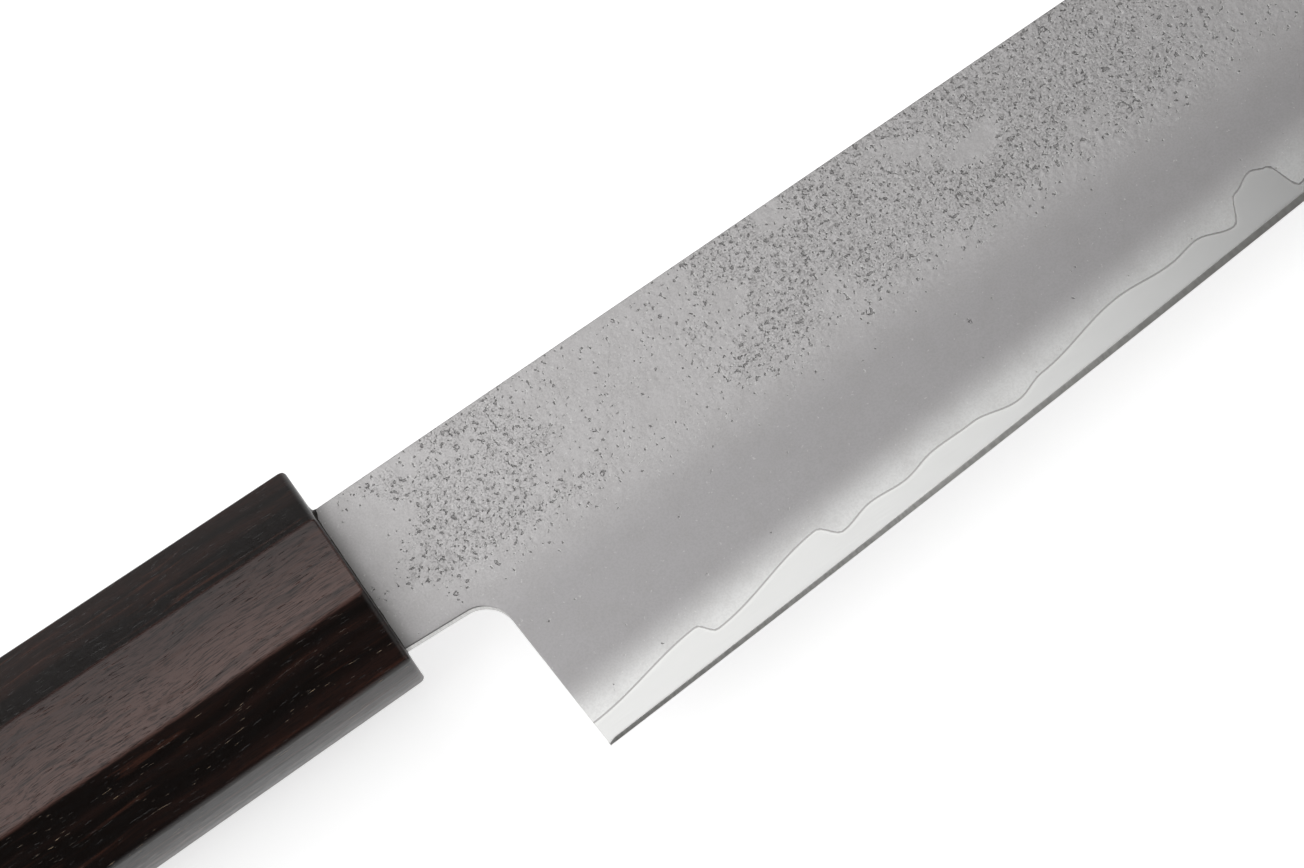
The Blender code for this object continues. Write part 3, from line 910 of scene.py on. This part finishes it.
def oiled_ebony():
    wood = new_material("ebony_sanded_and_oiled")
    place = place_in_mm(wood)
    axes = add(wood, "SeparateXYZ", {0: place})
    bend = add(wood, "TexNoise", {"Vector": place, "Scale": BENDS_PER_MM, "Detail": 1})
    bend = {0: bend.outputs["Color"], 1: BEND_REACH, 2: place}
    grain = add(wood, "VectorMath", bend, operation="MULTIPLY_ADD")
    figures = []
    for size in (ZONE_SIZE, STREAK_SIZE, FIBRE_SIZE, PORE_SIZE, CLUSTER_SIZE):
        stretched = add(wood, "Mapping", {"Vector": grain, "Scale": [1 / mm for mm in size]})
        figures.append(add(wood, "TexNoise", {"Vector": stretched, "Scale": 1, "Detail": 2}))
    zones, streaks, fibres, pores, clusters = figures
    pores = add(wood, "MapRange", {"Value": pores, "From Min": 0.66, "From Max": 0.76}, **SMOOTH)
    # Painted glints: pale pores in clusters on the lower chamfer.
    low = {"Value": axes.outputs["Y"], "From Min": GLINT_SIDE_Y[0], "From Max": GLINT_SIDE_Y[1]}
    low = add(wood, "MapRange", low)
    # Painted sheen: the right-hand flat, which faces the lamp above, is painted redder, and paler across
    # its middle.
    depth = {0: axes.outputs["X"], 1: PAINTED_SHEEN_FALL, 2: axes.outputs["Z"]}
    depth = add(wood, "Math", depth, operation="MULTIPLY_ADD")
    painted_sheen = {"Value": depth, "From Min": PAINTED_SHEEN_DEPTH[0], "From Max": PAINTED_SHEEN_DEPTH[1]}
    painted_sheen = add(wood, "MapRange", painted_sheen, **SMOOTH)
    paler = {"Value": axes.outputs["Y"], "From Min": PALER_Y[0], "From Max": PALER_Y[1]}
    paler = add(wood, "MapRange", paler)
    paler = add(wood, "Math", {0: painted_sheen, 1: paler}, operation="MULTIPLY")
    glinting = add(wood, "MapRange", {"Value": clusters, "From Min": 0.46, "From Max": 0.58}, **SMOOTH)
    pore_glints = add(wood, "Math", {0: low, 1: glinting}, operation="MULTIPLY")
    pore_glints = add(wood, "Math", {0: pore_glints, 1: pores}, operation="MULTIPLY")
    tone = layered(
        wood,
        linear("#17110F"),
        (
            (zones, 0.44, 0.64, 1, "#30201C"),
            # Painted sheen on the right-hand flat: redder, and paler across its middle.
            (painted_sheen, 0, 1, 0.85, "#422D29"),
            (paler, 0, 1, 0.8, "#6A5049"),
            (streaks, 0.55, 0.7, 0.8, "#4C3027"),
            (streaks, 0.42, 0.32, 0.45, "#1E1817"),
            (clusters, 0.42, 0.3, 0.45, "#1E1817"),
            (fibres, 0.5, 0.36, 0.65, "#0E0A09"),
            (pores, 0, 1, 0.55, "#0A0706"),
            # Painted glints in the pores of the lower chamfer.
            (pore_glints, 0, 1, 0.9, "#B39878"),
        ),
    )
    rough = {"Value": fibres, "From Min": 0.35, "From Max": 0.6, "To Min": 0.42, "To Max": 0.3}
    rough = add(wood, "MapRange", rough)
    nap = add(wood, "Bump", {"Height": fibres, "Strength": 0.5, "Distance": 0.00001})
    dents = add(wood, "Bump", {"Height": pores, "Distance": 0.00003, "Normal": nap}, invert=True)
    return finish(wood, {"Base Color": tone, "Roughness": rough, "IOR": 1.46, "Normal": dents})


ebony = oiled_ebony()

# %% [markdown]
# The handle
# A cone of 48 sides gives each of the eight flats six strips, so that a flat can be a
# little round, as a sanded one is. The one on the cutting edge's side is rounder than the
# rest. The cone's points only need moving to the octagon at each end. The slot for the
# tang is inset in the front face and pushed in three times: down to the tang's shoulders,
# in a step, and on to its end. The facets' edges are hardly eased, and the rims are
# rounder, least so on the two side flats, which bevel weights allow in one go.

# %% Handle
HANDLE_LENGTH = 138
FRONT_HEIGHT = 23.05
FRONT_WIDTH = 19.75
FRONT_SIDE_FLAT = 8.6
FRONT_TOP_FLAT = 10.1
BUTT_HEIGHT = 26.5
BUTT_WIDTH = 23.0
BUTT_SIDE_FLAT = 9.4
BUTT_TOP_FLAT = 11.6
END_ROUNDING = 0.65
SIDE_ROUNDING = 0.3
FACET_EASING = 0.25
SLOT_ROOM = 1.0
SLOT_CORNER = 5
SLOT_INSET = 0.5
FACET_STEPS = 6
CROWN = 0.05
BOTTOM_CROWN = 0.55
BOTTOM_SET_IN = 0.1
BOTTOM_EASING = 0.5
BOTTOM_SIDE = 3
SIDE_FLATS = (1, 5)


def octagon(height, width, side_flat, top_flat):
    """The 8 corners at one end, set in for the crowns that the flats get between them."""
    high, low = height / 2 - CROWN, BOTTOM_SET_IN - height / 2
    side, top = side_flat / 2, top_flat / 2
    out = width / 2 - CROWN
    corners = ((high, top), (side, out), (-side, out), (low, top))
    corners += ((low, -top), (-side, -out), (side, -out), (high, -top))
    return [Vector(corner) for corner in corners]


def on_outline(corners, place, crowned=True):
    """A point of an outline of 8 sides; place counts FACET_STEPS steps to a side."""
    side, step = divmod(place, FACET_STEPS)
    share = step / FACET_STEPS
    start, stop = corners[side], corners[(side + 1) % 8]
    crown = BOTTOM_CROWN if side == BOTTOM_SIDE else CROWN
    bulge = 4 * share * (1 - share) * crown if crowned else 0
    outwards = Vector((stop.y - start.y, start.x - stop.x)).normalized()
    if outwards.dot(start + stop) < 0:
        outwards.negate()
    return start.lerp(stop, share) + outwards * bulge


def handle_shape():
    bm = bmesh.new()
    around = 8 * FACET_STEPS
    bmesh.ops.create_cone(bm, cap_ends=True, segments=around, radius1=1, radius2=1, depth=2)
    turn = 2 * math.pi / around
    places = {v: round(math.atan2(v.co.y, v.co.x) / turn) % around for v in bm.verts}
    front = octagon(FRONT_HEIGHT, FRONT_WIDTH, FRONT_SIDE_FLAT, FRONT_TOP_FLAT)
    butt = octagon(BUTT_HEIGHT, BUTT_WIDTH, BUTT_SIDE_FLAT, BUTT_TOP_FLAT)
    for vertex, place in places.items():
        at_front = vertex.co.z > 0
        y, z = on_outline(front if at_front else butt, place)
        vertex.co = (0 if at_front else -HANDLE_LENGTH, y, z)
    weight = bm.edges.layers.float.new("bevel_weight_edge")
    for edge in bm.edges:
        first, second = (places[vertex] for vertex in edge.verts)
        if first != second and (first + second) / 2 // FACET_STEPS in SIDE_FLATS:
            edge[weight] = SIDE_ROUNDING / END_ROUNDING
        elif first != second:
            edge[weight] = 1
        elif first / FACET_STEPS in (BOTTOM_SIDE, BOTTOM_SIDE + 1):
            edge[weight] = BOTTOM_EASING / END_ROUNDING
        elif first % FACET_STEPS == 0:
            edge[weight] = FACET_EASING / END_ROUNDING
    bm.normal_update()
    cap = max(bm.faces, key=lambda face: face.calc_center_median().x)
    rim = {places[v]: v.co.copy() for v in cap.verts}
    bmesh.ops.inset_region(bm, faces=[cap], thickness=SLOT_INSET)
    top = SPINE_ABOVE_AXIS + SLOT_ROOM
    bottom = NECK_BOTTOM_Y - SLOT_ROOM
    half = SPINE_THICKNESS / 2 + SLOT_ROOM
    heights = (top, top - SLOT_CORNER, bottom + SLOT_CORNER, bottom)
    slot = [Vector((height, half)) for height in heights]
    slot += [Vector((height, -half)) for height in reversed(heights)]
    for vertex in cap.verts:
        place = min(rim, key=lambda key: (rim[key] - vertex.co).length)
        vertex.co = (0, *on_outline(slot, place, crowned=False))
    slot_axis = (top + bottom) / 2
    height = top - bottom
    stations = (
        (-SHOULDER_DEPTH - SLOT_ROOM, height),
        (-SHOULDER_DEPTH - SLOT_ROOM - SHOULDER_SLOPE, height - 2 * SHOULDER_STEP),
        (-TANG_LENGTH - SLOT_ROOM, TANG_END_HEIGHT + 2 * SLOT_ROOM),
    )
    for x, next_height in stations:
        pushed = bmesh.ops.extrude_face_region(bm, geom=[cap])
        bmesh.ops.delete(bm, geom=[cap], context="FACES_ONLY")
        cap = next(g for g in pushed["geom"] if isinstance(g, bmesh.types.BMFace))
        for vertex in cap.verts:
            share = (vertex.co.y - slot_axis) / height
            vertex.co = (x, slot_axis + share * next_height, vertex.co.z)
        height = next_height
    return bm


handle = keep(handle_shape(), "octagon_handle", "handle", [ebony])
for edge in handle.data.edges:
    ends = [to_bench @ handle.data.vertices[i].co for i in edge.vertices]
    inside = all(abs(p.z) <= SPINE_THICKNESS / 2 + SLOT_ROOM + SAME_POINT for p in ends)
    edge.use_edge_sharp = inside
easing = handle.modifiers.new("easing", "BEVEL")
easing.limit_method = "WEIGHT"
easing.width = END_ROUNDING / 1000
easing.segments = 5
easing.use_clamp_overlap = False
easing.harden_normals = True

# %% [markdown]
# Dark glue at the mouth
# Where the blade enters the wood, the slot is closed with black epoxy. It fills the slot,
# and a thin uneven lip of it creeps up the steel. The lip reaches furthest at the spine,
# where the maker wiped it off with a thumb. It is wrapped like the layers of the blade,
# but its rings close round the blade instead of round a column.

# %% Mouth glue
SEAL_DEPTH = 2
LIP_REACH = 0.1
SMEAR_REACH = 0.45
SMEAR_HEIGHT = 1.0
LIP_STEPS = 72
GLUE_SKIN = 0.012
BLOTCHES_PER_MM = 2.2


def black_epoxy():
    glue = new_material("black_epoxy_wiped")
    blotch = {"Vector": place_in_mm(glue), "Scale": BLOTCHES_PER_MM, "Detail": 3}
    blotch = add(glue, "TexNoise", blotch)
    tone = layered(glue, linear("#191614"), ((blotch, 0.35, 0.65, 1, "#37312D"),))
    bump = add(glue, "Bump", {"Height": blotch, "Strength": 0.4, "Distance": 0.00008})
    return finish(glue, {"Base Color": tone, "Roughness": 0.38, "IOR": 1.52, "Normal": bump})


def around_blade(share, offset):
    """A point on the blade's section at the mouth, moved out from the steel by offset."""
    height = SPINE_ABOVE_AXIS - NECK_BOTTOM_Y
    walk = share * 2 * (height + SPINE_THICKNESS)
    if walk < height:
        y = SPINE_ABOVE_AXIS - walk
        return Vector((0, y, face_half(0, y) + offset))
    walk -= height
    if walk < SPINE_THICKNESS:
        half = face_half(0, NECK_BOTTOM_Y) + offset
        return Vector((0, NECK_BOTTOM_Y - offset, half * (1 - 2 * walk / SPINE_THICKNESS)))
    walk -= SPINE_THICKNESS
    if walk < height:
        y = NECK_BOTTOM_Y + walk
        return Vector((0, y, -face_half(0, y) - offset))
    half = SPINE_THICKNESS / 2 + offset
    return Vector((0, SPINE_ABOVE_AXIS + offset, half * (2 * (walk - height) / SPINE_THICKNESS - 1)))


def lip_reach(point):
    """How far the lip creeps along the steel at this place on the blade's section."""
    ripple = noise.noise(Vector((3.1, point.y * 0.9, point.z * 2))) * 0.5
    ripple += noise.noise(Vector((7.7, point.y * 2.7, point.z * 5))) * 0.25
    reach = LIP_REACH * (1 + ripple)
    above = point.y - (SPINE_ABOVE_AXIS - SMEAR_HEIGHT)
    if above > 0 and point.z > 0:
        reach += (SMEAR_REACH - LIP_REACH) * min(1, above / SMEAR_HEIGHT * 1.6)
    return reach


def mouth_rings():
    rings = []
    for step in range(LIP_STEPS + 1):
        share = step % LIP_STEPS / LIP_STEPS
        reach = lip_reach(around_blade(share, 0))
        profile = (
            (-SEAL_DEPTH, GLUE_SKIN),
            (-SEAL_DEPTH, 0.9),
            (-0.05, 0.9),
            (0.04, 0.7),
            (0.25 * reach, 0.32),
            (0.5 * reach, 0.14),
            (0.8 * reach, 0.06),
            (reach, 0.03),
            (reach, GLUE_SKIN),
        )
        ring = []
        for x, offset in profile:
            point = around_blade(share, offset)
            point.x = x
            ring.append(point)
        rings.append(ring)
    return rings


keep(wrap(mouth_rings()), "mouth_glue", "mouth_seal", [black_epoxy()])

# %% [markdown]
# Glue round the tang
# The glue in the slot is amber epoxy. Nobody sees it unless the handle is taken off, but
# its shape in the CAD is right, so it stays and only gets its finish.

# %% Tang glue
BUBBLE_SPACING = 1.25


def amber_epoxy():
    glue = new_material("amber_epoxy_cured")
    bubbles = {"Vector": place_in_mm(glue), "Scale": 1 / BUBBLE_SPACING}
    bubbles = add(glue, "TexVoronoi", bubbles)
    tone = layered(glue, linear("#6B5636"), ((bubbles, 0, 1, 1, "#8A7350"),))
    return finish(glue, {"Base Color": tone, "Roughness": 0.3, "IOR": 1.52})


tang_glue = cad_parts["tang_adhesive"]
tang_glue.data.materials.clear()
tang_glue.data.materials.append(amber_epoxy())
print("kept from the CAD:", tang_glue.name)

# %% [markdown]
# Floor, room and lamps
# The knife lies on a white floor that keeps its shadow. One wide soft lamp hangs above it
# and a little behind the spine, which is where the flat of the blade mirrors the room to
# the camera. Two smaller ones stand at the tip and the butt, and a low one lights the face
# for somebody who looks over the butt. The walls of the room are dim, so that the facets
# of the handle part and the pits of the blade show.

# %% Stage
FLOOR_HALF = 8
FLOOR_LIFT = 0.75
ROOM_HORIZON = 0.06
ROOM_MIDDLE = 0.1


def lamp(name, place, target, size_x, size_y, glow):
    """A soft rectangular lamp at place that faces target; glow is its radiance."""
    data = bpy.data.lights.new(name, "AREA")
    data.shape = "RECTANGLE"
    data.size = size_x
    data.size_y = size_y
    data.energy = glow * math.pi * size_x * size_y
    piece = bpy.data.objects.new(name, data)
    piece.location = place
    piece.rotation_euler = (Vector(place) - Vector(target)).to_track_quat("Z", "Y").to_euler()
    piece.visible_camera = False
    bpy.context.scene.collection.objects.link(piece)
    return piece


def white_floor():
    paper = new_material("white_paper")
    path = add(paper, "LightPath").outputs
    seen = add(paper, "Math", {0: path["Is Camera Ray"], 1: path["Is Glossy Ray"]}, operation="ADD")
    seen = add(paper, "Math", {0: seen, 1: path["Is Transmission Ray"]}, operation="ADD")
    lift = add(paper, "Math", {0: seen, 1: FLOOR_LIFT}, operation="MULTIPLY")
    glow = add(paper, "Emission", {"Strength": lift})
    finish(paper, {"Base Color": linear("#D2D2D2"), "Roughness": 0.9})
    shader = paper.node_tree.nodes["Principled BSDF"]
    both = add(paper, "AddShader", {0: shader, 1: glow})
    connect(paper, paper.node_tree.nodes["Material Output"], "Surface", both)
    return paper


def dim_room():
    room = bpy.data.worlds.new("room")
    bpy.context.scene.world = room
    room.use_nodes = True
    axes = add(room, "SeparateXYZ", {0: add(room, "TexCoord").outputs["Generated"]})
    rise = {"Value": axes.outputs["Z"], "From Min": 0, "From Max": 0.4}
    rise |= {"To Min": ROOM_HORIZON, "To Max": ROOM_MIDDLE}
    wall = add(room, "MapRange", rise)
    connect(room, room.node_tree.nodes["Background"], "Strength", wall)


bm = bmesh.new()
bmesh.ops.create_grid(bm, x_segments=1, y_segments=1, size=FLOOR_HALF)
floor_mesh = bpy.data.meshes.new("floor")
bm.to_mesh(floor_mesh)
bm.free()
floor_mesh.materials.append(white_floor())
floor = bpy.data.objects.new("floor", floor_mesh)
bpy.context.scene.collection.objects.link(floor)
dim_room()
lamp("lamp_above", (-0.775, 0.43, 0.9), (-0.775, 0.43, 0), 1.86, 1.24, 1.65)
lamp("lamp_at_butt", (-1.3, 0.0, 0.9), (0, 0, 0), 0.9, 0.9, 0.9)
lamp("lamp_at_tip", (1.3, 0.1, 0.9), (0, 0, 0), 0.9, 0.9, 0.9)
lamp("lamp_low", (1.6, -1.6, 0.65), (0, 0, 0), 1.9, 1.1, 0.8)
bpy.context.scene.view_settings.view_transform = "Standard"

# %% [markdown]
# Finish
# The view layer is brought up to date. The box of the dressed knife has to stay inside
# the CAD's.

# %% Finish
bpy.context.view_layer.update()
